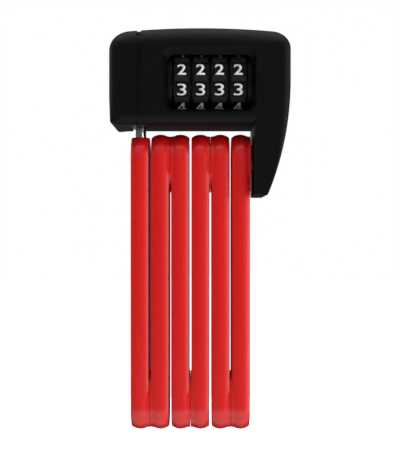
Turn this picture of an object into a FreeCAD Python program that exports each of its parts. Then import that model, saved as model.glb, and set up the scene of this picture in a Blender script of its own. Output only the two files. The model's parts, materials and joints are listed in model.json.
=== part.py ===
"""Folding bike lock: a combination lock head, and six covered steel links that fold side by side below it.

Frame: X runs across the folded pack, from the locking bolt to the prong. +Y is the back of the lock, and the
number window faces -Y. Z is up. The origin is the middle of the folded pack of links. Millimetres.
"""

import FreeCAD
import Part
import math
import os

from FreeCAD import Vector

# ---- links -------------------------------------------------------------------------------------------------
LINK_COUNT = 6
LINK_PITCH = 9.9  # from one link's middle plane to the next
RIVET_SPAN = 122.0  # between the two rivets of one link
AXIS_Z = RIVET_SPAN / 2
COVER_HALF = 4.4  # half the cover's thickness
COVER_RADIUS = 12.35  # half its width, and the radius of its ends
COVER_CROWN = 1.6  # how far the rounded edge stands out from the flat sides
COVER_CORNER = 0.5
CORE_HALF = 2.5  # 5 mm steel bar
CORE_RADIUS = 9.0
BOSS_RADIUS = 11.4  # at the face where two links meet
BOSS_HEIGHT = 0.45  # leaves 0.2 mm between the two bosses of a joint
BOSS_LENGTH = 5.2  # how far its inner end lies from the rivet
BOSS_HOLLOW = 8.0  # radius of the hollow curve that joins its rim to the crowned edge
BOSS_ROOT = 2.2  # the hollow curve starts this far from the link's middle plane, just inside the crown

# ---- rivets ------------------------------------------------------------------------------------------------
RIVET_RADIUS = 4.0
RUNNING_GAP = 0.05  # on the radius, in the link that turns on the rivet
RIVET_HEAD_RADIUS = 6.5
RIVET_HEAD_HEIGHT = 1.5
RIVET_HEAD_ROUND = 0.6
HEAD_OPENING = 7.0
RING_RADIUS = 7.0
RING_OPENING = 7.25
END_PLAY = 0.1

# ---- locking bolt ------------------------------------------------------------------------------------------
BOLT_X = -25.4
BOLT_RADIUS = 3.3
BOLT_FOOT = 70.5
BOLT_TOP = 104.0
BOLT_TIP_CHAMFER = 1.2
BOLT_SPIGOT_RADIUS = 2.5
BOLT_SPIGOT_LENGTH = 14.0
BOLT_GROOVE_RADIUS = 2.3
BOLT_GROOVE_HALF = 2.5
FLAT_TOP = 71.4  # the first link's cover is cut off here
EYE_HALF = 3.65  # the first core is swaged thicker around the bolt's thread
EYE_HALF_WIDTH = 6.5
EYE_BOTTOM = 50.0

# ---- lock head ---------------------------------------------------------------------------------------------
HEAD_LEFT = -39.2
HEAD_RIGHT = 48.6
HEAD_BOTTOM = 76.6
HEAD_TOP = 124.2
HEAD_HALF_DEPTH = 18.5
CROWN_MIDDLE = 5.0
CROWN_RADIUS = 410.0
TOP_ROUND = 9.0
BOTTOM_ROUND = 5.0
SIDE_ROUND = 4.2
LEFT_CORNER = 10.5
RIGHT_CORNER = 9.5
LOW_CORNER = 1.7  # the left end's lower corner is tight, and its side leans in below LEAN_TOP
LOW_CORNER_ROUND = 1.4
LEAN_TOP = 89.0
LEAN = 0.8
LOW_CORNER_END = -31.0  # the bottom's rounding has grown to its full size here
WALL = 2.4
SHELL_SPLIT = 3.0  # the front and rear shells meet at this Y
CAP_EDGE = -26.0
GROOVE_WIDTH = 2.3
GROOVE_DEPTH = 0.5

# ---- prong -------------------------------------------------------------------------------------------------
PRONG_FACE = 30.9
PRONG_BOTTOM = 42.4
PRONG_ARC_TOP = 99.0
PRONG_ARC_RADIUS = 146.0
PRONG_ROOT_TOP = 104.0  # the prong's root ends here, inside the head
PRONG_TIP_ROUND = 1.3
PRONG_INNER_ROUND = 0.9
PRONG_BOTTOM_ROUND = 0.7
PRONG_ROOT_ROUND = 3.0  # its inner rims grow to this at the root
PLATE_LEFT = 32.15
PLATE_RIGHT = 37.15
PLATE_HALF_WIDTH = 10.0
PLATE_TOP = 112.0

# ---- number wheels -----------------------------------------------------------------------------------------
WHEEL_COUNT = 4
WHEEL_MIDDLE = 9.6  # X of the middle of the group
WHEEL_PITCH = 9.11
WHEEL_Z = 98.65
WHEEL_RADIUS = 15.8
WHEEL_WIDTH = 8.7
WHEEL_EDGE = 0.35
POSITIONS = 10
GRIP_LENGTH = 6.75  # the raised bar between two numbers
GRIP_WIDTH = 2.7
GRIP_RADIUS = 16.65
WHEEL_ROOM = 17.1
HUB_WIDTH = 8.9
HUB_RADIUS = 10.0
HUB_RIB = 0.9
GATE_DEPTH = 1.8
GATE_WIDTH = 2.0
TUBE_RADIUS = 7.0
TUBE_BORE = 6.0
COLLAR_RADIUS = 15.7
COLLAR_GAP = 0.1

# ---- number window -----------------------------------------------------------------------------------------
WINDOW_OUTER = (-12.9, 31.7, 82.4, 113.9)  # left, right, bottom, top at the front face
WINDOW_INNER = (-10.9, 29.9, 84.1, 110.4)
WINDOW_CORNER = 4.4
WINDOW_INNER_CORNER = 3.4
BEVEL_DEPTH = 3.2
BEZEL_DEPTH = 4.6
BEZEL_SET_BACK = 0.1
INDEX_WIDTH = 0.35
INDEX_DEPTH = 0.25

# ---- chassis and latch -------------------------------------------------------------------------------------
CHASSIS_HALF_WIDTH = 11.0
CHEEK_HALF_WIDTH = 8.0
BASE_BOTTOM = HEAD_BOTTOM + WALL + 0.1
BASE_THICKNESS = 2.0
TOP_PLATE_BOTTOM = 116.3
TOP_PLATE_THICKNESS = 2.6
LEFT_CHEEK = (-13.5, -11.0)
RIGHT_CHEEK = (30.0, PLATE_LEFT)
SOCKET = (-30.0, -20.0)
SOCKET_HALF_WIDTH = 7.0
SOCKET_TOP = 109.0
SOCKET_BORE = 3.4
BOLT_HOLE = 3.7
SPINDLE_RADIUS = 2.5
NOSE_HALF_WIDTH = 2.4
NOSE_HALF_HEIGHT = 2.1
FLANGE = (-19.6, -18.8)
FLANGE_RADIUS = 4.6
FIN_REACH = 6.8
FIN_THICKNESS = 1.6
BUSH_LENGTH = 3.0
SPRING_RADIUS = 3.6
SPRING_WIRE = 0.25
SPRING_TURNS = 3.5
DETENT_STRIP = 0.4
DETENT_Y = (4.0, 7.6)
DETENT_FINGER_RADIUS = 0.9
DETENT_FINGER_HALF = 1.5

SCREW_PLACES = [(-17.0, 86.0), (-17.0, 111.5), (42.2, 86.0), (42.2, 111.5)]
SCREW_RADIUS = 1.25
SCREW_HEAD_RADIUS = 2.2
SCREW_BOSS_RADIUS = 2.6
SCREW_SEAT = HEAD_HALF_DEPTH - 2.4
CHASSIS_SCREW_RADIUS = 1.5
CHASSIS_SCREW_HEAD_RADIUS = 2.75
CHASSIS_SCREW_PLACES = [(-6.0, 86.5), (6.0, 86.5), (-6.0, 108.0), (6.0, 108.0)]

SLIDER_X = (-4.0, 8.0)
SLIDER_Z = (81.5, 88.0)
SLIDER_Y = (13.6, 15.8)
NUB_X = (-1.0, 3.0)
NUB_Z = (83.0, 86.5)
NUB_BACK = 18.2
NUB_GROOVES = 3
NUB_GROOVE_PITCH = 1.0
NUB_GROOVE_WIDTH = 0.4
NUB_GROOVE_DEPTH = 0.35
SLIDER_TRAVEL = 3.0

FAR = 400.0  # longer than the whole lock, for cutting blocks


# ---- shapes ------------------------------------------------------------------------------------------------
def box(x, y, z):
    """A block from three (low, high) pairs."""
    return Part.makeBox(x[1] - x[0], y[1] - y[0], z[1] - z[0], Vector(x[0], y[0], z[0]))


def rod_x(radius, x, y=0.0, z=0.0):
    return Part.makeCylinder(radius, x[1] - x[0], Vector(x[0], y, z), Vector(1, 0, 0))


def ring_x(radius, bore, x, z):
    return rod_x(radius, x, z=z).cut(rod_x(bore, x, z=z))


def rod_y(radius, y, x, z):
    return Part.makeCylinder(radius, y[1] - y[0], Vector(x, y[0], z), Vector(0, 1, 0))


def rod_z(radius, z, x, y=0.0):
    return Part.makeCylinder(radius, z[1] - z[0], Vector(x, y, z[0]), Vector(0, 0, 1))


def joined(shapes):
    return shapes[0].multiFuse(shapes[1:]).removeSplitter()


def line(a, b):
    return Part.LineSegment(a, b).toShape()


def arc(a, through, b):
    return Part.Arc(a, through, b).toShape()


def save(name, shape):
    """Writes a node. A group of separate pieces goes out as one compound of solids."""
    solids = shape.Solids
    out = solids[0] if len(solids) == 1 else Part.makeCompound(solids)
    if not out.isValid():
        print("not valid:", name)
    print(f"{name}: {len(solids)} solids, {out.Volume / 1000:.2f} cm3")
    out.exportStep(f"parts/{name}.step")


def rounded(shape, radius_of):
    """Rounds each edge for which radius_of gives (radius at its start, radius at its end)."""
    choices = []
    for number, edge in enumerate(shape.Edges, 1):
        found = radius_of(edge)
        if found:
            choices.append((number, *found))
    work = FreeCAD.newDocument("rounding")
    base = work.addObject("Part::Feature", "base")
    base.Shape = shape
    fillet = work.addObject("Part::Fillet", "fillet")
    fillet.Base = base
    fillet.Edges = choices
    work.recompute()
    result = fillet.Shape.copy()
    FreeCAD.closeDocument(work.Name)
    return result


# ---- links -------------------------------------------------------------------------------------------------
def link_x(number):
    return (number - (LINK_COUNT + 1) / 2) * LINK_PITCH


def boss_side(number, top):
    """+1 where a link's boss faces +X at that end, -1 where it faces -X, 0 where it has none."""
    if number == 1 and top:
        return 0
    return 1 if (number % 2 == 1) != top else -1


def stadium_x(radius, half, x, bottom=-AXIS_Z, top=AXIS_Z):
    """A flat bar with round ends, lying in a YZ plane."""
    x_range = (x - half, x + half)
    bar = box(x_range, (-radius, radius), (bottom, top))
    return joined([bar, rod_x(radius, x_range, z=bottom), rod_x(radius, x_range, z=top)])


def cover_blank(x):
    """The outside of a link: a bar with crowned edges, carried round both ends."""
    side = COVER_RADIUS - COVER_CROWN
    low, high = x - COVER_HALF, x + COVER_HALF

    def section(z, from_middle):
        start = 0.0 if from_middle else -side
        corners = [Vector(low, start, z), Vector(low, side, z), Vector(high, side, z), Vector(high, start, z)]
        edges = [line(corners[0], corners[1]), arc(corners[1], Vector(x, COVER_RADIUS, z), corners[2])]
        edges.append(line(corners[2], corners[3]))
        if from_middle:
            edges.append(line(corners[3], corners[0]))
        else:
            edges.append(arc(corners[3], Vector(x, -COVER_RADIUS, z), corners[0]))
        return Part.Face(Part.Wire(edges))

    bar = section(-AXIS_Z, False).extrude(Vector(0, 0, RIVET_SPAN))
    ends = [
        section(z, True).revolve(Vector(x, 0, z), Vector(1, 0, 0), 360) for z in (-AXIS_Z, AXIS_Z)
    ]
    blank = joined([bar, *ends])
    rims = [
        e
        for e in blank.Edges
        if abs(abs(e.BoundBox.XMin - x) - COVER_HALF) < 1e-4 and e.BoundBox.XLength < 1e-4
    ]
    return blank.makeFillet(COVER_CORNER, rims)


def boss(x, side, top):
    """The raised pad round a joint, longer towards the link's middle, its rim hollowed to meet the crown."""
    axis_z = AXIS_Z if top else -AXIS_Z
    inner_z = axis_z - BOSS_LENGTH if top else axis_z + BOSS_LENGTH
    root, face = x + side * BOSS_ROOT, x + side * (COVER_HALF + BOSS_HEIGHT)
    joint_x = x + side * LINK_PITCH / 2

    def rim(at_x, half, z):
        hollow = BOSS_HOLLOW - math.sqrt(BOSS_HOLLOW**2 - (at_x - joint_x) ** 2)
        return Vector(at_x, half * (BOSS_RADIUS + hollow), z)

    def section(half, z):
        points = [rim(root, half, z), rim((root + face) / 2, half, z), rim(face, half, z)]
        middle = [Vector(face, 0, z), Vector(root, 0, z)]
        edges = [arc(*points), line(points[2], middle[0]), line(*middle), line(middle[1], points[0])]
        return Part.Face(Part.Wire(edges))

    ends = [section(1, z).revolve(Vector(x, 0, z), Vector(1, 0, 0), 360) for z in (axis_z, inner_z)]
    sides = [section(half, axis_z).extrude(Vector(0, 0, inner_z - axis_z)) for half in (1, -1)]
    return joined([*ends, *sides])


def core_outline(number):
    """A link's steel, before its rivet holes."""
    x = link_x(number)
    if number > 1:
        return stadium_x(CORE_RADIUS, CORE_HALF, x)
    bar = stadium_x(CORE_RADIUS, CORE_HALF, x, top=AXIS_Z - 2.0)
    eye = box((x - EYE_HALF, x + EYE_HALF), (-EYE_HALF_WIDTH, EYE_HALF_WIDTH), (EYE_BOTTOM, BOLT_FOOT))
    above = box((x - FAR, x + FAR), (-FAR, FAR), (BOLT_FOOT, FAR))
    return joined([bar, eye]).cut(above)


def link_parts(number):
    x = link_x(number)
    blank = cover_blank(x)
    openings = [core_outline(number)]
    holes = []
    for top in (False, True):
        side = boss_side(number, top)
        axis_z = AXIS_Z if top else -AXIS_Z
        if not side:
            continue
        blank = blank.fuse(boss(x, side, top))
        outside = sorted((x - side * CORE_HALF, x - side * (COVER_HALF + 1)))
        inside = sorted((x + side * CORE_HALF, x + side * (COVER_HALF + BOSS_HEIGHT + 1)))
        openings.append(rod_x(HEAD_OPENING, outside, z=axis_z))
        openings.append(rod_x(RING_OPENING, inside, z=axis_z))
        # the link on the left of each joint turns on the rivet, and the one on its right holds it
        bore = RIVET_RADIUS + (RUNNING_GAP if side > 0 else 0.0)
        holes.append(rod_x(bore, (x - EYE_HALF, x + EYE_HALF), z=axis_z))
    if number == 1:
        blank = blank.cut(box((x - FAR, x + FAR), (-FAR, FAR), (FLAT_TOP, FAR)))
        openings.append(rod_z(BOLT_RADIUS, (BOLT_FOOT, FLAT_TOP + 1), BOLT_X))
        holes.append(rod_z(BOLT_SPIGOT_RADIUS, (BOLT_FOOT - BOLT_SPIGOT_LENGTH, BOLT_FOOT), BOLT_X))
    save(f"link_core_{number}", core_outline(number).cut(holes))
    save(f"link_cover_{number}", blank.cut(openings).removeSplitter())


def rivet(left_x, axis_z):
    """A rivet through two steels one pitch apart, tight in the right-hand one."""
    right_x = left_x + LINK_PITCH
    left_head = (left_x - CORE_HALF - RIVET_HEAD_HEIGHT, left_x - CORE_HALF - END_PLAY)
    right_head = (right_x + CORE_HALF, right_x + CORE_HALF + RIVET_HEAD_HEIGHT)
    body = joined([
        rod_x(RIVET_RADIUS, (left_head[0], right_head[1]), z=axis_z),
        rod_x(RIVET_HEAD_RADIUS, left_head, z=axis_z),
        rod_x(RIVET_HEAD_RADIUS, right_head, z=axis_z),
    ])

    def at_an_end(edge):
        b = edge.BoundBox
        return b.XLength < 1e-4 and min(abs(b.XMin - left_head[0]), abs(b.XMin - right_head[1])) < 1e-4

    return body.makeFillet(RIVET_HEAD_ROUND, [e for e in body.Edges if at_an_end(e)])


def spacer_ring(left_x, axis_z):
    x = (left_x + CORE_HALF + END_PLAY, left_x + LINK_PITCH - CORE_HALF)
    return ring_x(RING_RADIUS, RIVET_RADIUS, x, axis_z)


def locking_bolt():
    shank = rod_z(BOLT_RADIUS, (BOLT_FOOT, BOLT_TOP), BOLT_X)
    tip = [e for e in shank.Edges if e.BoundBox.ZMin > BOLT_TOP - 1e-4]
    shank = shank.makeChamfer(BOLT_TIP_CHAMFER, tip)
    spigot = rod_z(BOLT_SPIGOT_RADIUS, (BOLT_FOOT - BOLT_SPIGOT_LENGTH, BOLT_FOOT), BOLT_X)
    groove_z = (WHEEL_Z - BOLT_GROOVE_HALF, WHEEL_Z + BOLT_GROOVE_HALF)
    groove = rod_z(BOLT_RADIUS + 1, groove_z, BOLT_X).cut(rod_z(BOLT_GROOVE_RADIUS, groove_z, BOLT_X))
    return joined([shank, spigot]).cut(groove)


# ---- lock head outside -------------------------------------------------------------------------------------
def crown_z(x, inset=0.0):
    radius = CROWN_RADIUS - inset
    return HEAD_TOP - CROWN_RADIUS + math.sqrt(radius**2 - (x - CROWN_MIDDLE) ** 2)


def top_arc(left, right, y, inset=0.0):
    middle = (left + right) / 2
    return arc(*[Vector(x, y, crown_z(x, inset)) for x in (left, middle, right)])


def rim_radius(point, inset, bottom_round):
    """The rounding of the front and back rims at a point: most at the top, least at the lower left."""
    if point.z > crown_z(point.x) - 2.0:
        radius = TOP_ROUND
    elif point.x < LOW_CORNER_END - 0.5 and point.z < HEAD_BOTTOM + inset + LOW_CORNER + 0.5:
        radius = LOW_CORNER_ROUND
    elif point.z < HEAD_BOTTOM + inset + 1.0:
        radius = bottom_round
    else:
        radius = SIDE_ROUND
    return max(radius - inset, 0.3)


def rim_choice(inset=0.0, bottom_round=BOTTOM_ROUND):
    depth = HEAD_HALF_DEPTH - inset

    def choose(edge):
        b = edge.BoundBox
        if b.YLength > 1e-4 or abs(abs(b.YMin) - depth) > 1e-4:
            return None
        first, last = edge.valueAt(edge.FirstParameter), edge.valueAt(edge.LastParameter)
        return rim_radius(first, inset, bottom_round), rim_radius(last, inset, bottom_round)

    return choose


def head_block(inset=0.0):
    """The lock head without its prong, shrunk by inset on every side."""
    left, right, bottom = HEAD_LEFT + inset, HEAD_RIGHT - inset, HEAD_BOTTOM + inset
    depth = HEAD_HALF_DEPTH - inset
    outline = [(right, crown_z(right, inset)), (right, bottom), (LOW_CORNER_END, bottom)]
    outline += [(left + LEAN, bottom), (left, LEAN_TOP), (left, crown_z(left, inset))]
    corners = [Vector(x, -depth, z) for x, z in outline]
    edges = [top_arc(left, right, -depth, inset)] + [line(a, b) for a, b in zip(corners, corners[1:])]
    block = Part.Face(Part.Wire(edges)).extrude(Vector(0, 2 * depth, 0))

    def corner(edge):
        b = edge.BoundBox
        if b.YLength < depth or abs(b.XMin - LOW_CORNER_END) < 1e-4:
            return None
        low = b.XMin < CROWN_MIDDLE and b.ZMin < bottom + 1.0
        radius = LOW_CORNER if low else LEFT_CORNER if b.XMin < CROWN_MIDDLE else RIGHT_CORNER
        return (max(radius - inset, 0.4),) * 2

    return rounded(rounded(block, corner), rim_choice(inset))


def prong_block():
    """The curved prong that reaches down beside the last link, with its root inside the head's right end."""
    depth = HEAD_HALF_DEPTH
    centre_x = HEAD_RIGHT - PRONG_ARC_RADIUS

    def on_arc(z):
        x = centre_x + math.sqrt(PRONG_ARC_RADIUS**2 - (z - PRONG_ARC_TOP) ** 2)
        return Vector(x, -depth, z)

    tip, halfway = on_arc(PRONG_BOTTOM), on_arc((PRONG_BOTTOM + PRONG_ARC_TOP) / 2)
    corners = [tip, Vector(PRONG_FACE, -depth, PRONG_BOTTOM), Vector(PRONG_FACE, -depth, PRONG_ROOT_TOP)]
    corners += [Vector(HEAD_RIGHT, -depth, PRONG_ROOT_TOP), on_arc(PRONG_ARC_TOP)]
    edges = [arc(on_arc(PRONG_ARC_TOP), halfway, tip)] + [line(a, b) for a, b in zip(corners, corners[1:])]
    block = Part.Face(Part.Wire(edges)).extrude(Vector(0, 2 * depth, 0))

    def corner(edge):
        b = edge.BoundBox
        if b.YLength < depth or b.ZMin > PRONG_BOTTOM + 1:
            return None
        return (PRONG_TIP_ROUND if b.XMin > PRONG_FACE + 1 else PRONG_INNER_ROUND,) * 2

    def rim(edge):
        b = edge.BoundBox
        if b.ZMin > PRONG_ROOT_TOP - 1e-4:
            return None
        if b.XLength < 1e-4 and abs(b.XMin - PRONG_FACE) < 1e-4 and b.YLength < 1e-4:
            ends = [edge.valueAt(p).z for p in (edge.FirstParameter, edge.LastParameter)]
            return tuple(PRONG_ROOT_ROUND if z > HEAD_BOTTOM else PRONG_BOTTOM_ROUND for z in ends)
        return rim_choice(0.0, PRONG_BOTTOM_ROUND)(edge)

    return rounded(rounded(block, corner), rim)


def plate_outline():
    """The hinge plate in the prong, before its holes."""
    x = (PLATE_LEFT, PLATE_RIGHT)
    bar = box(x, (-PLATE_HALF_WIDTH, PLATE_HALF_WIDTH), (AXIS_Z, PLATE_TOP))
    return joined([bar, rod_x(PLATE_HALF_WIDTH, x, z=AXIS_Z)])


def head_shell():
    """The whole plastic shell of the head, closed, before it is split into its shells and cap."""
    root = box((PLATE_RIGHT, FAR), (-FAR, FAR), (0, PRONG_ROOT_TOP - 4.0))
    outside = joined([head_block().cut(root), prong_block()])
    slab = box((CAP_EDGE, CAP_EDGE + GROOVE_WIDTH), (-FAR, FAR), (0, FAR))
    groove = slab.cut(head_block(GROOVE_DEPTH))
    left_x = link_x(LINK_COUNT)
    rivet_pocket = rod_x(RIVET_HEAD_RADIUS, (PLATE_LEFT, PLATE_RIGHT + RIVET_HEAD_HEIGHT), z=AXIS_Z)
    return outside.cut([
        head_block(WALL),
        groove,
        plate_outline(),
        rivet_pocket,
        rod_x(RING_OPENING, (left_x, PLATE_LEFT), z=AXIS_Z),
        rod_z(BOLT_HOLE, (HEAD_BOTTOM - 1, BASE_BOTTOM), BOLT_X),
        rod_x(WHEEL_ROOM, (LEFT_CHEEK[1], RIGHT_CHEEK[0]), z=WHEEL_Z),
        window_blank((-HEAD_HALF_DEPTH - 1, -HEAD_HALF_DEPTH + BEZEL_DEPTH)),
    ])


# ---- number window -----------------------------------------------------------------------------------------
def window_wire(limits, radius, y):
    left, right, bottom, top = limits
    centre = Vector((left + right) / 2, 0, (bottom + top) / 2)
    half_x, half_z = (right - left) / 2, (top - bottom) / 2
    edges, ends = [], []
    for turn in range(4):
        sx, sz = ((1, 1), (-1, 1), (-1, -1), (1, -1))[turn]
        corner = Vector(centre.x + sx * (half_x - radius), y, centre.z + sz * (half_z - radius))
        first = math.radians(90 * turn)
        points = [
            corner + Vector(radius * math.cos(first + a), 0, radius * math.sin(first + a))
            for a in (0, math.pi / 4, math.pi / 2)
        ]
        edges.append(arc(*points))
        ends.append((points[0], points[2]))
    for turn in range(4):
        edges.append(line(ends[turn][1], ends[(turn + 1) % 4][0]))
    return Part.Wire(Part.__sortEdges__(edges))


def window_blank(y, limits=WINDOW_OUTER, radius=WINDOW_CORNER):
    return Part.Face(window_wire(limits, radius, y[0])).extrude(Vector(0, y[1] - y[0], 0))


def dial_bezel():
    front = -HEAD_HALF_DEPTH + BEZEL_SET_BACK
    back = -HEAD_HALF_DEPTH + BEZEL_DEPTH
    throat = -HEAD_HALF_DEPTH + BEVEL_DEPTH
    wires = [
        window_wire(WINDOW_OUTER, WINDOW_CORNER, front),
        window_wire(WINDOW_INNER, WINDOW_INNER_CORNER, throat),
    ]
    bevel = Part.makeLoft(wires, True, True)
    straight = window_blank((throat, back + 1), WINDOW_INNER, WINDOW_INNER_CORNER)
    frame = window_blank((front, back)).cut([bevel, straight])
    line_z = (WHEEL_Z - INDEX_WIDTH / 2, WHEEL_Z + INDEX_WIDTH / 2)
    shifted = bevel.copy()
    shifted.translate(Vector(0, INDEX_DEPTH, 0))
    marks = shifted.common(box((-FAR, FAR), (-FAR, throat), line_z))
    return frame.cut(marks)


# ---- number wheels -----------------------------------------------------------------------------------------
def wheel_x(number):
    return WHEEL_MIDDLE + (number - (WHEEL_COUNT + 1) / 2) * WHEEL_PITCH


def hub_outline(x):
    """A code hub's outside: a drum with one rib for each position, which keys it to its number wheel."""
    span = (x - HUB_WIDTH / 2, x + HUB_WIDTH / 2)
    shapes = [rod_x(HUB_RADIUS, span, z=WHEEL_Z)]
    for step in range(POSITIONS):
        rib = box(span, (-HUB_RIB, HUB_RIB), (WHEEL_Z + HUB_RADIUS - 1, WHEEL_Z + HUB_RADIUS + HUB_RIB))
        rib.rotate(Vector(x, 0, WHEEL_Z), Vector(1, 0, 0), 360 / POSITIONS * step)
        shapes.append(rib)
    return joined(shapes)


def number_wheel(x):
    span = (x - WHEEL_WIDTH / 2, x + WHEEL_WIDTH / 2)
    drum = rod_x(WHEEL_RADIUS, span, z=WHEEL_Z)
    drum = drum.makeChamfer(WHEEL_EDGE, [e for e in drum.Edges if e.BoundBox.XLength < 1e-4])
    grips = []
    for step in range(POSITIONS):
        grip = box(
            (x - GRIP_LENGTH / 2, x + GRIP_LENGTH / 2),
            (-GRIP_RADIUS, -WHEEL_RADIUS + 1),
            (WHEEL_Z - GRIP_WIDTH / 2, WHEEL_Z + GRIP_WIDTH / 2),
        )
        grip.rotate(Vector(x, 0, WHEEL_Z), Vector(1, 0, 0), 360 / POSITIONS * step)
        grips.append(grip)
    return joined([drum, *grips]).cut(hub_outline(x))


def code_hub(x):
    span = (x - HUB_WIDTH / 2, x + HUB_WIDTH / 2)
    bore = rod_x(TUBE_RADIUS + RUNNING_GAP, span, z=WHEEL_Z)
    gate_z = (WHEEL_Z, WHEEL_Z + TUBE_RADIUS + GATE_DEPTH)
    gate = box(span, (-GATE_WIDTH / 2, GATE_WIDTH / 2), gate_z)
    return hub_outline(x).cut([bore, gate])


def wheel_collars():
    """The plain ends of the drum, between the outer wheels and the sides of the window."""
    first = (WINDOW_INNER[0] + COLLAR_GAP, wheel_x(1) - WHEEL_WIDTH / 2 - 0.4)
    last = (wheel_x(WHEEL_COUNT) + WHEEL_WIDTH / 2 + 0.4, WINDOW_INNER[1] - COLLAR_GAP)
    return Part.makeCompound([ring_x(COLLAR_RADIUS, TUBE_RADIUS, span, WHEEL_Z) for span in (first, last)])


# ---- inside the head ---------------------------------------------------------------------------------------
def carrier_tube():
    """The fixed tube that the code hubs turn on, slotted along its top for the spindle's fins."""
    span = (LEFT_CHEEK[0], RIGHT_CHEEK[1])
    tube = ring_x(TUBE_RADIUS, TUBE_BORE, span, WHEEL_Z)
    slot_x = (LEFT_CHEEK[1] + 1.0, RIGHT_CHEEK[0] - 1.0)
    slot = box(slot_x, (-GATE_WIDTH / 2, GATE_WIDTH / 2), (WHEEL_Z, WHEEL_Z + FAR))
    return tube.cut(slot)


def spindle_bushes():
    spans = [(LEFT_CHEEK[0], LEFT_CHEEK[0] + BUSH_LENGTH), (RIGHT_CHEEK[1] - BUSH_LENGTH, RIGHT_CHEEK[1])]
    bore = SPINDLE_RADIUS + RUNNING_GAP
    return Part.makeCompound([ring_x(TUBE_BORE, bore, span, WHEEL_Z) for span in spans])


def lock_chassis():
    """The steel box round the wheels: a base plate, a top plate and two cheeks."""
    width = (-CHASSIS_HALF_WIDTH, CHASSIS_HALF_WIDTH)
    top = TOP_PLATE_BOTTOM + TOP_PLATE_THICKNESS
    cheek_width = (-CHEEK_HALF_WIDTH, CHEEK_HALF_WIDTH)
    chassis = joined([
        box((SOCKET[1], RIGHT_CHEEK[1]), width, (BASE_BOTTOM, BASE_BOTTOM + BASE_THICKNESS)),
        box((LEFT_CHEEK[0], RIGHT_CHEEK[1]), cheek_width, (TOP_PLATE_BOTTOM, top)),
        box(LEFT_CHEEK, cheek_width, (BASE_BOTTOM, top)),
        box(RIGHT_CHEEK, cheek_width, (BASE_BOTTOM, top)),
    ])
    holes = [rod_x(TUBE_RADIUS, (LEFT_CHEEK[0], RIGHT_CHEEK[1]), z=WHEEL_Z)]
    holes += [rod_x(CHASSIS_SCREW_RADIUS, RIGHT_CHEEK, y=y, z=z) for y, z in CHASSIS_SCREW_PLACES]
    return chassis.cut(holes)


def hinge_plate():
    x = (PLATE_LEFT, PLATE_RIGHT)
    holes = [rod_x(RIVET_RADIUS, x, z=AXIS_Z), rod_x(SPINDLE_RADIUS + 0.6, x, z=WHEEL_Z)]
    holes += [rod_x(CHASSIS_SCREW_RADIUS, x, y=y, z=z) for y, z in CHASSIS_SCREW_PLACES]
    return plate_outline().cut(holes)


def chassis_screws():
    screws = []
    for y, z in CHASSIS_SCREW_PLACES:
        shank = rod_x(CHASSIS_SCREW_RADIUS, (RIGHT_CHEEK[0], PLATE_RIGHT), y=y, z=z)
        head = rod_x(CHASSIS_SCREW_HEAD_RADIUS, (PLATE_RIGHT, PLATE_RIGHT + 2.0), y=y, z=z)
        recess = box((PLATE_RIGHT + 0.9, FAR), (y - 0.35, y + 0.35), (z - 3, z + 3))
        screws.append(joined([shank, head]).cut(recess))
    return Part.makeCompound(screws)


def bolt_socket():
    """The steel block that the locking bolt slides up into, with a side way for the latch's nose."""
    block = box(SOCKET, (-SOCKET_HALF_WIDTH, SOCKET_HALF_WIDTH), (BASE_BOTTOM, SOCKET_TOP))
    bore = rod_z(SOCKET_BORE, (BASE_BOTTOM, BOLT_TOP + 1), BOLT_X)
    way = box(
        (BOLT_X, SOCKET[1]),
        (-NOSE_HALF_WIDTH - 0.2, NOSE_HALF_WIDTH + 0.2),
        (WHEEL_Z - NOSE_HALF_HEIGHT - 0.2, WHEEL_Z + NOSE_HALF_HEIGHT + 0.2),
    )
    return block.cut([bore, way])


def latch_spindle():
    """The sliding spindle: a nose in the bolt's groove, and a fin for each wheel's code hub."""
    nose_x = (BOLT_X + BOLT_GROOVE_RADIUS + 0.15, FLANGE[0])
    nose_y = (-NOSE_HALF_WIDTH, NOSE_HALF_WIDTH)
    nose = box(nose_x, nose_y, (WHEEL_Z - NOSE_HALF_HEIGHT, WHEEL_Z + NOSE_HALF_HEIGHT))
    shapes = [
        nose,
        rod_x(FLANGE_RADIUS, FLANGE, z=WHEEL_Z),
        rod_x(SPINDLE_RADIUS, (FLANGE[0], RIGHT_CHEEK[1]), z=WHEEL_Z),
    ]
    for number in range(1, WHEEL_COUNT + 1):
        left = wheel_x(number) - 4.0
        fin_z = (WHEEL_Z, WHEEL_Z + FIN_REACH)
        shapes.append(box((left, left + 2.0), (-FIN_THICKNESS / 2, FIN_THICKNESS / 2), fin_z))
    return joined(shapes)


def latch_spring():
    """A short coil between the spindle's flange and the left cheek, with its ends closed flat."""
    length = LEFT_CHEEK[0] - FLANGE[1] - 2 * SPRING_WIRE
    helix = Part.makeHelix(length / SPRING_TURNS, length, SPRING_RADIUS)
    profile = Part.Wire(Part.makeCircle(SPRING_WIRE, Vector(SPRING_RADIUS, 0, 0), Vector(0, 1, 0)))
    coil = Part.Wire(helix).makePipeShell([profile], True, True)
    coil.rotate(Vector(), Vector(0, 1, 0), 90)
    coil.translate(Vector(FLANGE[1] + SPRING_WIRE, 0, WHEEL_Z))
    return coil


def detent_spring():
    """A comb of spring steel under the top plate, with one rounded finger above each wheel."""
    strip_z = (TOP_PLATE_BOTTOM - DETENT_STRIP, TOP_PLATE_BOTTOM)
    shapes = [box((LEFT_CHEEK[1] + 1, RIGHT_CHEEK[0] - 1), DETENT_Y, strip_z)]
    for number in range(1, WHEEL_COUNT + 1):
        x = wheel_x(number)
        finger_x = (x - DETENT_FINGER_HALF, x + DETENT_FINGER_HALF)
        shapes.append(rod_x(DETENT_FINGER_RADIUS, finger_x, y=5.0, z=TOP_PLATE_BOTTOM - 0.55))
    comb = joined(shapes)
    return comb.cut(box((-FAR, FAR), (-FAR, FAR), (TOP_PLATE_BOTTOM, FAR)))


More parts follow.
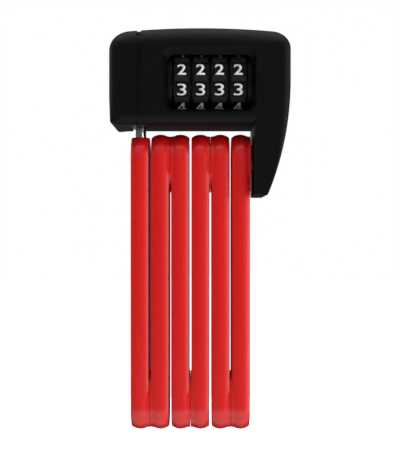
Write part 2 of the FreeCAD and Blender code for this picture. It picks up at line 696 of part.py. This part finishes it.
def slider():
    """The code-change slider: a plate inside the rear shell, with a ribbed nub in the shell's slot."""
    plate = box(SLIDER_X, SLIDER_Y, SLIDER_Z)
    nub = box(NUB_X, (SLIDER_Y[1], NUB_BACK), NUB_Z)
    grooves = []
    for number in range(NUB_GROOVES):
        left = NUB_X[0] + 0.8 + number * NUB_GROOVE_PITCH
        grooves.append(box((left, left + NUB_GROOVE_WIDTH), (NUB_BACK - NUB_GROOVE_DEPTH, FAR), NUB_Z))
    return joined([plate, nub]).cut(grooves)


def screw(x, z):
    """A housing screw from the back, its slotted head sunk below the rear face."""
    head_y = (SCREW_SEAT, HEAD_HALF_DEPTH - 0.5)
    shank = rod_y(SCREW_RADIUS, (SHELL_SPLIT - 8.0, head_y[0]), x, z)
    head = rod_y(SCREW_HEAD_RADIUS, head_y, x, z)
    slot = box((x - 3, x + 3), (head_y[1] - 0.7, FAR), (z - 0.3, z + 0.3))
    return joined([shank, head]).cut(slot)


def screw_hole(x, z):
    blind = rod_y(SCREW_RADIUS, (SHELL_SPLIT - 8.5, FAR), x, z)
    return blind.fuse(rod_y(SCREW_HEAD_RADIUS + 0.1, (SCREW_SEAT, FAR), x, z))


def shells():
    """Splits the closed shell into the front shell, the rear shell and the end cap, and adds their bosses."""
    shell = head_shell()
    inner_depth = HEAD_HALF_DEPTH - WALL
    posts = [rod_y(SCREW_BOSS_RADIUS, (-inner_depth, inner_depth), x, z) for x, z in SCREW_PLACES]
    cap_space = box((-FAR, CAP_EDGE), (-FAR, FAR), (-FAR, FAR))
    front_space = box((CAP_EDGE, FAR), (-FAR, SHELL_SPLIT), (-FAR, FAR))
    rear_space = box((CAP_EDGE, FAR), (SHELL_SPLIT, FAR), (-FAR, FAR))
    slot_x = (NUB_X[0] - 0.4, NUB_X[1] + SLIDER_TRAVEL + 0.4)
    slot = box(slot_x, (0, FAR), (NUB_Z[0] - 0.3, NUB_Z[1] + 0.3))
    full = joined([shell, *posts]).cut([screw_hole(x, z) for x, z in SCREW_PLACES])
    save("end_cap", shell.common(cap_space))
    save("front_housing", full.common(front_space))
    save("rear_housing", full.common(rear_space).cut(slot))


def main():
    os.makedirs("parts", exist_ok=True)
    for number in range(1, LINK_COUNT + 1):
        link_parts(number)
    for number in range(1, LINK_COUNT):
        axis_z = -AXIS_Z if number % 2 else AXIS_Z
        pair = f"{number}_{number + 1}"
        save(f"hinge_rivet_{pair}", rivet(link_x(number), axis_z))
        save(f"spacer_ring_{pair}", spacer_ring(link_x(number), axis_z))
    save("prong_rivet", rivet(link_x(LINK_COUNT), AXIS_Z))
    save("prong_spacer_ring", spacer_ring(link_x(LINK_COUNT), AXIS_Z))
    save("locking_bolt", locking_bolt())
    shells()
    save("dial_bezel", dial_bezel())
    for number in range(1, WHEEL_COUNT + 1):
        save(f"number_wheel_{number}", number_wheel(wheel_x(number)))
        save(f"code_hub_{number}", code_hub(wheel_x(number)))
    save("wheel_collars", wheel_collars())
    save("wheel_carrier_tube", carrier_tube())
    save("spindle_bushes", spindle_bushes())
    save("lock_chassis", lock_chassis())
    save("hinge_plate", hinge_plate())
    save("chassis_screws", chassis_screws())
    save("bolt_socket", bolt_socket())
    save("latch_spindle", latch_spindle())
    save("latch_spring", latch_spring())
    save("detent_spring", detent_spring())
    save("code_change_slider", slider())
    save("housing_screws", Part.makeCompound([screw(x, z) for x, z in SCREW_PLACES]))


main()
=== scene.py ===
"""The looks of the folding bike lock: finishes, printed numbers, floor, lights and camera.

Metres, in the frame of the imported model: +X from the locking bolt to the prong, -Y towards the number
window, +Z up.
"""

import json
import math

import bmesh
import bpy
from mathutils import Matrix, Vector


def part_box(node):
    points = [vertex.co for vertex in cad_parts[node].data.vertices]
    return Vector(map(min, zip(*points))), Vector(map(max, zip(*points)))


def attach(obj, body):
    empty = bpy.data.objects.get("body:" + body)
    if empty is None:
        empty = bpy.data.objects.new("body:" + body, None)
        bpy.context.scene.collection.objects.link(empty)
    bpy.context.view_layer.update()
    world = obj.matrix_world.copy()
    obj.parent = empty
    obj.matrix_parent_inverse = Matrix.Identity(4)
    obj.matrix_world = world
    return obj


MM = 0.001
WHITE = (1.0, 1.0, 1.0, 1.0)

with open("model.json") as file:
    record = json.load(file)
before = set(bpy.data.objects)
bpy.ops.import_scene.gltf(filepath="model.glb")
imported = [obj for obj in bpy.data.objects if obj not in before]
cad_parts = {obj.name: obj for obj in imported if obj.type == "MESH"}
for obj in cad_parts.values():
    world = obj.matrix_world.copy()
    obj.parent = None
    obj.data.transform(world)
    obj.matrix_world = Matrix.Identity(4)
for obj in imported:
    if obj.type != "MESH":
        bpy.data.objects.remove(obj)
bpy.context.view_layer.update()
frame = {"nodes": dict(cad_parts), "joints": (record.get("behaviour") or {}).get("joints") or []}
nodes = frame["nodes"]
joints = {j["name"]: j for j in frame["joints"]}
WHEELS = range(1, 5)


# ---- node material helpers ---------------------------------------------------------------------------------
class Look:
    """A node material with short calls for the patterns that the finishes here are mixed from."""

    def __init__(self, name, color, roughness, metallic=0.0):
        self.mat = bpy.data.materials.new(name)
        self.mat.use_nodes = True
        self.tree = self.mat.node_tree
        self.bsdf = self.tree.nodes["Principled BSDF"]
        self.bsdf.inputs["Metallic"].default_value = metallic
        self.color = (*color, 1.0)
        self.set("Base Color", self.color)
        self.set("Roughness", roughness)
        self.mat.diffuse_color = self.color
        self.where = self.node("ShaderNodeTexCoord").outputs["Object"]

    def node(self, kind, **settings):
        n = self.tree.nodes.new(kind)
        for key, value in settings.items():
            setattr(n, key, value)
        return n

    def link(self, source, target):
        self.tree.links.new(source, target)

    def feed(self, target, value):
        if isinstance(value, bpy.types.NodeSocket):
            self.link(value, target)
        else:
            target.default_value = value

    def set(self, socket, value):
        self.feed(self.bsdf.inputs[socket], value)

    def stretched(self, scale):
        """Object coordinates scaled apart on each axis, so that a pattern runs along one of them."""
        n = self.node("ShaderNodeMapping")
        self.link(self.where, n.inputs["Vector"])
        n.inputs["Scale"].default_value = scale
        return n.outputs["Vector"]

    def noise(self, scale, detail=3.0, roughness=0.55, along=None):
        n = self.node("ShaderNodeTexNoise")
        self.link(along or self.where, n.inputs["Vector"])
        n.inputs["Scale"].default_value = scale
        n.inputs["Detail"].default_value = detail
        n.inputs["Roughness"].default_value = roughness
        return n.outputs["Fac"]

    def ranged(self, value, low, high, from_low=0.0, from_high=1.0):
        n = self.node("ShaderNodeMapRange")
        self.feed(n.inputs["Value"], value)
        limits = {"From Min": from_low, "From Max": from_high, "To Min": low, "To Max": high}
        for socket, number in limits.items():
            n.inputs[socket].default_value = number
        return n.outputs["Result"]

    def math(self, operation, a, b=0.0):
        n = self.node("ShaderNodeMath", operation=operation)
        self.feed(n.inputs[0], a)
        self.feed(n.inputs[1], b)
        return n.outputs[0]

    def mixed(self, factor, a, b):
        n = self.node("ShaderNodeMix", data_type="RGBA")
        self.feed(n.inputs["Factor"], factor)
        self.feed(n.inputs["A"], a)
        self.feed(n.inputs["B"], b)
        return n.outputs["Result"]

    def bump(self, height, depth, strength=1.0):
        """Adds a height pattern to the surface. depth is in metres."""
        n = self.node("ShaderNodeBump")
        n.inputs["Strength"].default_value = strength
        n.inputs["Distance"].default_value = depth
        self.link(height, n.inputs["Height"])
        normal = self.bsdf.inputs["Normal"]
        if normal.is_linked:
            self.link(normal.links[0].from_socket, n.inputs["Normal"])
        self.link(n.outputs["Normal"], normal)

    def distance_from_x_axis(self, y, z):
        """Distance from a line along X, in metres: turned rings and drum patterns follow it."""
        parts = self.node("ShaderNodeSeparateXYZ")
        self.link(self.where, parts.inputs[0])
        dy = self.math("SUBTRACT", parts.outputs["Y"], y)
        dz = self.math("SUBTRACT", parts.outputs["Z"], z)
        square = self.math("ADD", self.math("MULTIPLY", dy, dy), self.math("MULTIPLY", dz, dz))
        return self.math("SQRT", square)


def tint(color, factor):
    return tuple(c * factor for c in color[:3]) + (1.0,)


# ---- finishes ----------------------------------------------------------------------------------------------
RED = (0.80, 0.0085, 0.0088)
HOUSING = (0.0020, 0.0022, 0.0023)
BEZEL = (0.0020, 0.0022, 0.0026)
WHEEL = (0.0034, 0.0034, 0.0034)
# painted highlight: the grip bars are the drum's black plastic, given a lighter grey that stands in for the
# light they catch above and below the front of the window
GRIP_PAINTED_HIGHLIGHT = (0.019, 0.019, 0.0195)
NUMBER_WHITE = (0.93, 0.93, 0.92)
DRUM_RADIUS = 15.8 * MM  # the numbers are printed here, below the tops of the grip bars
BAR_STARTS, BAR_FULL = 0.10 * MM, 0.25 * MM  # above the drum: where the grip bars' smoother finish and their painted highlight take over
WHEEL_SHINE = 0.12
GRIP_ROUGHNESS = 0.24
RING_PITCH = 0.18 * MM


def moulded(name, color, roughness, shine, grain=3200.0, grain_depth=0.012, spread=0.06, blotch=0.06):
    """Moulded plastic: fine spark-eroded grain, slow changes of tone, and scuffs that change the gloss."""
    look = Look(name, color, roughness)
    look.set("Specular IOR Level", shine)
    slow = look.noise(38.0, 2.0)
    fine = look.noise(grain, 4.0, 0.6)
    scuff = look.noise(150.0, 5.0, 0.7, along=look.stretched((4.0, 4.0, 1.0)))
    look.set("Base Color", look.mixed(slow, tint(color, 1.0 - blotch), tint(color, 1.0 + blotch)))
    gloss = look.ranged(scuff, roughness - spread, roughness + spread, 0.35, 0.65)
    look.set("Roughness", gloss)
    look.bump(fine, grain_depth * MM)
    look.bump(look.noise(120.0, 2.0), 0.02 * MM, 0.5)
    return look


def link_skin():
    """Bright red skin over the steel: satin, with a very fine grain and faint lengthwise flow lines."""
    look = moulded("link_skin_red", RED, 0.30, 0.5, grain=2600.0, grain_depth=0.008, spread=0.02, blotch=0.05)
    flow = look.noise(260.0, 2.0, along=look.stretched((1.0, 1.0, 0.04)))
    look.bump(flow, 0.014 * MM, 0.6)
    return look.mat


def turned_metal(name, color, roughness, axis_yz=None):
    """Steel turned on a lathe: fine rings round its axis, or plain fine grinding where no axis is given."""
    look = Look(name, color, roughness, metallic=1.0)
    slow = look.noise(300.0, 3.0)
    look.set("Base Color", look.mixed(slow, tint(color, 0.88), tint(color, 1.08)))
    look.set("Roughness", look.ranged(look.noise(900.0, 3.0), roughness * 0.8, roughness * 1.35))
    if axis_yz:
        phase = look.math("MULTIPLY", look.distance_from_x_axis(*axis_yz), math.tau / RING_PITCH)
        look.bump(look.math("SINE", phase), 0.004 * MM, 0.7)
    else:
        ground = look.noise(2400.0, 2.0, along=look.stretched((1.0, 1.0, 0.03)))
        look.bump(ground, 0.006 * MM, 0.6)
    return look.mat


def polished_bolt():
    """Polished steel: almost a mirror, with very fine turning rings along its length."""
    look = Look("polished_steel", (0.80, 0.80, 0.81), 0.13, metallic=1.0)
    rings = look.noise(5200.0, 2.0, along=look.stretched((0.02, 0.02, 1.0)))
    look.set("Roughness", look.ranged(rings, 0.09, 0.20, 0.3, 0.7))
    look.bump(rings, 0.0006 * MM, 0.5)
    return look.mat


def wheel_plastic():
    """Black moulded drum with a faint handling sheen. Its raised grip bars are worn smoother, and they are
    painted a lighter grey as a painted highlight that stands in for the light they catch.
    """
    axis = joints["wheel_1_turn"]["pos_m"]
    look = Look("number_wheel_black", WHEEL, 0.45)
    look.set("Specular IOR Level", WHEEL_SHINE)
    radius = look.distance_from_x_axis(axis[1], axis[2])
    on_drum = look.ranged(radius, 1.0, 0.0, DRUM_RADIUS + BAR_STARTS, DRUM_RADIUS + BAR_FULL)
    smear = look.noise(420.0, 4.0, 0.65)
    # painted highlight: the bars take the lighter grey, and the drum keeps its black
    look.set("Base Color", look.mixed(on_drum, (*GRIP_PAINTED_HIGHLIGHT, 1.0), (*WHEEL, 1.0)))
    gloss = look.ranged(smear, 0.40, 0.54, 0.3, 0.7)
    drum_or_bar = look.node("ShaderNodeMix", data_type="FLOAT")
    look.feed(drum_or_bar.inputs["Factor"], on_drum)
    drum_or_bar.inputs["A"].default_value = GRIP_ROUGHNESS
    look.link(gloss, drum_or_bar.inputs["B"])
    look.set("Roughness", drum_or_bar.outputs["Result"])
    look.bump(look.noise(1500.0, 3.0), 0.006 * MM)
    return look.mat


def number_paint():
    """White filling paint, slightly duller where it is worn."""
    look = Look("number_white", NUMBER_WHITE, 0.5)
    worn = look.ranged(look.noise(1400.0, 5.0, 0.7), 0.0, 1.0, 0.3, 0.7)
    look.set("Base Color", look.mixed(worn, tint(NUMBER_WHITE, 0.94), tint(NUMBER_WHITE, 1.0)))
    look.bump(look.noise(3000.0, 3.0), 0.008 * MM)
    return look.mat


# ---- give every CAD node its finish ------------------------------------------------------------------------
def finish_node(name, material):
    data = nodes[name].data
    data.materials.clear()
    data.materials.append(material)


def dress_cad_nodes():
    skin = link_skin()
    housing = moulded("housing_black", HOUSING, 0.56, 0.14).mat
    bezel = moulded("bezel_black", BEZEL, 0.36, 0.06, grain=2400.0, grain_depth=0.006, spread=0.04).mat
    slider = moulded("slider_grey", (0.045, 0.045, 0.047), 0.45, 0.3).mat
    wheel = wheel_plastic()
    steel = turned_metal("hardened_steel", (0.40, 0.40, 0.41), 0.38)
    brass = turned_metal("hub_brass", (0.10, 0.075, 0.040), 0.40)
    screw = turned_metal("black_oxide", (0.055, 0.055, 0.058), 0.34)
    spring = turned_metal("spring_steel", (0.55, 0.55, 0.57), 0.25)
    rivets = {}
    for row, joint in (("upper", "prong_hinge"), ("lower", "hinge_5_6")):
        axis = (0.0, joints[joint]["pos_m"][2])
        rivets[row] = turned_metal(f"rivet_steel_{row}", (0.26, 0.26, 0.27), 0.30, axis)
    by_node = {
        "locking_bolt": polished_bolt(),
        "front_housing": housing,
        "rear_housing": housing,
        "end_cap": housing,
        "dial_bezel": bezel,
        "wheel_collars": wheel,
        "code_change_slider": slider,
        "housing_screws": screw,
        "chassis_screws": screw,
        "latch_spring": spring,
        "detent_spring": spring,
        "spindle_bushes": brass,
        "hinge_plate": screw,
        "prong_spacer_ring": screw,
    }
    for name in nodes:
        if name.startswith("link_cover"):
            by_node[name] = skin
        elif name.startswith("number_wheel"):
            by_node[name] = wheel
        elif name.startswith("code_hub"):
            by_node[name] = brass
        elif "rivet" in name:
            by_node[name] = rivets["upper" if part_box(name)[0].z > 0 else "lower"]
        finish_node(name, by_node.get(name, steel))


# ---- printed numbers ---------------------------------------------------------------------------------------
DIGIT_HEIGHT = 5.85 * MM
DIGIT_WIDTH = 4.35 * MM
DIGIT_STANDOFF = 0.05 * MM
DIGIT_SUNK = 0.25 * MM
STEP = math.radians(36.0)
TWO_AT = math.radians(17.2)  # at rest, number 2 is about half a step above the front of the drum
BEND_STRIPS = 14
ONE_WIDTH = 0.5  # of the other digits' width
THICKENED = 0.018  # added round the typeface's strokes, in parts of its size
THREE_THICKENED = 0.004  # less, because stretching the 3 to the common width already thickens it

# Outlines of the two numerals that are drawn here, in a cell one unit high: a stem without a foot, and a four
# with its opening.
DRAWN = {
    "1": [
        [(0.38, 0.0), (0.62, 0.0), (0.62, 1.0), (0.44, 1.0),
         (0.36, 0.86), (0.16, 0.76), (0.16, 0.60), (0.38, 0.68)],
    ],
    "4": [
        [(0.52, 0.0), (0.76, 0.0), (0.76, 0.22), (0.94, 0.22), (0.94, 0.40), (0.76, 0.40),
         (0.76, 1.0), (0.52, 1.0), (0.03, 0.41), (0.03, 0.22), (0.52, 0.22)],
        [(0.52, 0.40), (0.23, 0.40), (0.52, 0.75)],
    ],
}


def digit_curve(text):
    """The outline of a bold numeral as a filled curve: drawn here, or from the built-in typeface."""
    if text not in DRAWN:
        curve = bpy.data.curves.new("digit", "FONT")
        curve.body = text
        curve.offset = THREE_THICKENED if text == "3" else THICKENED
        curve.resolution_u = 6
        return curve
    curve = bpy.data.curves.new("digit", "CURVE")
    curve.dimensions = "2D"
    curve.fill_mode = "BOTH"
    for loop in DRAWN[text]:
        spline = curve.splines.new("POLY")
        spline.points.add(len(loop) - 1)
        for point, (x, y) in zip(spline.points, loop):
            point.co = (x, y, 0.0, 1.0)
        spline.use_cyclic_u = True
    return curve


def flat_digit(text):
    """A bold numeral as a flat mesh, centred, in the XY plane, with cuts across it so that it can bend."""
    holder = bpy.data.objects.new("digit", digit_curve(text))
    bpy.context.scene.collection.objects.link(holder)
    bpy.context.view_layer.update()
    mesh = bpy.data.meshes.new_from_object(holder.evaluated_get(bpy.context.evaluated_depsgraph_get()))
    bpy.data.objects.remove(holder)
    bm = bmesh.new()
    bm.from_mesh(mesh)
    bpy.data.meshes.remove(mesh)
    low = Vector([min(v.co[i] for v in bm.verts) for i in range(3)])
    high = Vector([max(v.co[i] for v in bm.verts) for i in range(3)])
    size, middle = high - low, (low + high) / 2
    width = DIGIT_WIDTH * (ONE_WIDTH if text == "1" else 1.0)
    for v in bm.verts:
        x = (v.co.x - middle.x) / size.x * width
        y = (v.co.y - middle.y) / size.y * DIGIT_HEIGHT
        v.co = Vector((x, y, 0.0))
    for cut in range(1, BEND_STRIPS):
        y = (cut / BEND_STRIPS - 0.5) * DIGIT_HEIGHT
        geometry = bm.verts[:] + bm.edges[:] + bm.faces[:]
        bmesh.ops.bisect_plane(bm, geom=geometry, plane_co=(0, y, 0), plane_no=(0, 1, 0))
    return bm


def add_numbers(wheel, paint):
    """The ten numbers of one wheel, wrapped round its drum as one printed piece."""
    low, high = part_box(f"number_wheel_{wheel}")
    centre = (low + high) / 2
    whole = bmesh.new()
    for value in range(10):
        bm = flat_digit(str(value))
        made = bmesh.ops.extrude_face_region(bm, geom=bm.faces[:])
        sunk = {v for v in made["geom"] if isinstance(v, bmesh.types.BMVert)}
        angle = TWO_AT - (value - 2) * STEP
        for v in bm.verts:
            r = DRUM_RADIUS + (-DIGIT_SUNK if v in sunk else DIGIT_STANDOFF)
            a = angle + v.co.y / DRUM_RADIUS
            v.co = Vector((centre.x + v.co.x, centre.y - r * math.cos(a), centre.z + r * math.sin(a)))
        bmesh.ops.recalc_face_normals(bm, faces=bm.faces)
        part = bpy.data.meshes.new("part")
        bm.to_mesh(part)
        bm.free()
        whole.from_mesh(part)
        bpy.data.meshes.remove(part)
    mesh = bpy.data.meshes.new(f"wheel_numbers_{wheel}")
    whole.to_mesh(mesh)
    whole.free()
    mesh.materials.append(paint)
    piece = bpy.data.objects.new(f"wheel_numbers_{wheel}", mesh)
    bpy.context.scene.collection.objects.link(piece)
    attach(piece, f"number_wheel_{wheel}")


# ---- stage, lights, camera ---------------------------------------------------------------------------------
FLOOR_Z = -0.32
STAGE_RADIUS = 6.0
SURROUND_RADIUS = STAGE_RADIUS * 1.05
LIT_POINT = Vector((0.0, 0.0, 0.02))
LIGHT_DISTANCE = 1.2
AMBIENT = 0.105
# name, degrees round from the front towards +X, degrees up, width and height in metres, watts, and what it
# gives: "both", only the even light of a bounced lamp ("soft"), or only its reflection ("shine")
LIGHTS = [
    ("right", 80, 0, 1.1, 1.4, 11.5, "both"),
    ("right_soft", 40, 10, 0.8, 0.8, 1.2, "soft"),
    ("high_left", -40, 50, 1.2, 1.2, 3.4, "soft"),
    ("overhead", 0, 88, 1.6, 1.6, 15.0, "both"),
    ("low_front", 8, -38, 2.4, 0.7, 7.4, "soft"),
    ("front", 5, 25, 0.5, 0.5, 1.0, "soft"),
    ("right_front", 50, 0, 0.5, 1.2, 0.5, "both"),
    ("left_back", -118, 0, 2.4, 1.6, 16.0, "shine"),
    ("back", 180, 15, 1.4, 1.4, 9.0, "soft"),
    ("floor_sheet", 0, -65, 3.4, 1.8, 25.0, "shine"),
]


def camera_only(name, bm, look, height=0.0):
    """A glowing white surface that the camera sees and no other ray does."""
    look.set("Emission Color", WHITE)
    look.set("Emission Strength", 1.0)
    mesh = bpy.data.meshes.new(name)
    bm.to_mesh(mesh)
    bm.free()
    mesh.materials.append(look.mat)
    obj = bpy.data.objects.new(name, mesh)
    obj.location.z = height
    bpy.context.scene.collection.objects.link(obj)
    for ray in ("diffuse", "glossy", "transmission", "volume_scatter", "shadow"):
        setattr(obj, f"visible_{ray}", False)


def plain_stage():
    """A pale floor far below the hanging lock, and a plain white surround."""
    disc = bmesh.new()
    bmesh.ops.create_circle(disc, cap_ends=True, radius=STAGE_RADIUS, segments=96)
    camera_only("floor", disc, Look("floor_pale", (0.9, 0.9, 0.9), 0.8), FLOOR_Z)
    ball = bmesh.new()
    bmesh.ops.create_uvsphere(ball, u_segments=48, v_segments=24, radius=SURROUND_RADIUS)
    camera_only("surround", ball, Look("surround_white", (0.0, 0.0, 0.0), 1.0))


def soft_light(name, place, target, size, power):
    light = bpy.data.lights.new(name, "AREA")
    light.shape = "RECTANGLE"
    light.size, light.size_y = size
    light.energy = power
    obj = bpy.data.objects.new(name, light)
    obj.location = place
    obj.rotation_euler = (target - place).to_track_quat("-Z", "Y").to_euler()
    obj.visible_camera = False
    bpy.context.scene.collection.objects.link(obj)
    return obj


def studio_lights():
    for name, azimuth, elevation, width, height, power, gives in LIGHTS:
        a, e = math.radians(azimuth), math.radians(elevation)
        way = Vector((math.sin(a) * math.cos(e), -math.cos(a) * math.cos(e), math.sin(e)))
        lamp = soft_light(name, LIT_POINT + way * LIGHT_DISTANCE, LIT_POINT, (width, height), power)
        lamp.visible_diffuse = gives != "shine"
        lamp.visible_glossy = gives != "soft"
    world = bpy.data.worlds.new("studio")
    bpy.context.scene.world = world
    world.use_nodes = True
    background = world.node_tree.nodes["Background"]
    background.inputs["Color"].default_value = WHITE
    background.inputs["Strength"].default_value = AMBIENT


CAMERA_AT = Vector((4.74, -430.0, 26.5)) * MM
VIEW_HEIGHT = 228.5 * MM  # what the picture's height covers on the plane Y = 0
SENSOR = 36.0


def place_camera():
    """Level, looking along +Y, at the height of the upper part of the links."""
    camera = bpy.data.cameras.new("camera")
    camera.sensor_width = SENSOR
    camera.lens = SENSOR * abs(CAMERA_AT.y) / VIEW_HEIGHT
    camera.clip_end = 50.0
    obj = bpy.data.objects.new("camera", camera)
    obj.location = CAMERA_AT
    obj.rotation_euler = (math.radians(90.0), 0.0, 0.0)
    bpy.context.scene.collection.objects.link(obj)
    bpy.context.scene.camera = obj


dress_cad_nodes()
paint = number_paint()
for wheel in WHEELS:
    add_numbers(wheel, paint)
plain_stage()
studio_lights()
place_camera()
bpy.context.scene.view_settings.view_transform = "Standard"
